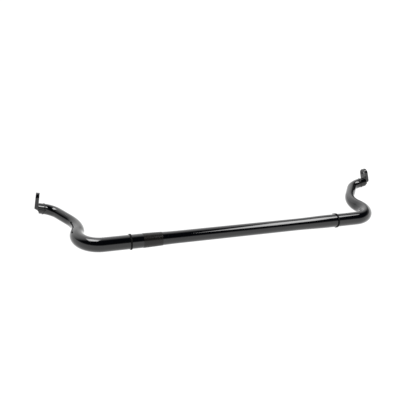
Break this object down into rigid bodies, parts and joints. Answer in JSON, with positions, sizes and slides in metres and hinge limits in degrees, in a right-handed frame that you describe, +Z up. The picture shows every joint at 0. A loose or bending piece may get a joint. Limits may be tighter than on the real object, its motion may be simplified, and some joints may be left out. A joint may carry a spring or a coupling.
{
  "type": "sway bar",
  "caption": "Hollow bent sway bar with swaged middle, shaped arms, forged ends with upright link plates, weld beads, split stop collars and a blank label.",
  "frame": {"origin": "under the centre of the whole bar, on the surface that it lies on", "axes": "+X along the bar to its right end, +Y to the ends of the arms, +Z up from the surface that it lies on"},
  "size_m": [1.0036, 0.2228, 0.081],
  "materials": {
    "gloss_black_paint": "gloss",
    "painted_weld": "semi-gloss",
    "black_collar_band": "semi-gloss",
    "blank_label_film": "satin"
  },
  "bodies": {
    "left_side": {"tube_left": "gloss_black_paint", "forged_end_left": "gloss_black_paint", "weld_bead_left": "painted_weld", "stop_collar_left": "black_collar_band", "blank_label": "blank_label_film"},
    "right_side": {"tube_right": "gloss_black_paint", "forged_end_right": "gloss_black_paint", "weld_bead_right": "painted_weld", "stop_collar_right": "black_collar_band"}
  },
  "joints": [
    {"name": "bar_twist", "type": "hinge", "parent": "left_side", "child": "right_side", "pos_m": [0, -0.09151, 0.01994], "axis": [1, 0, 0], "range_deg": [-15, 15], "stiffness_Nm_per_rad": 8000}
  ]
}
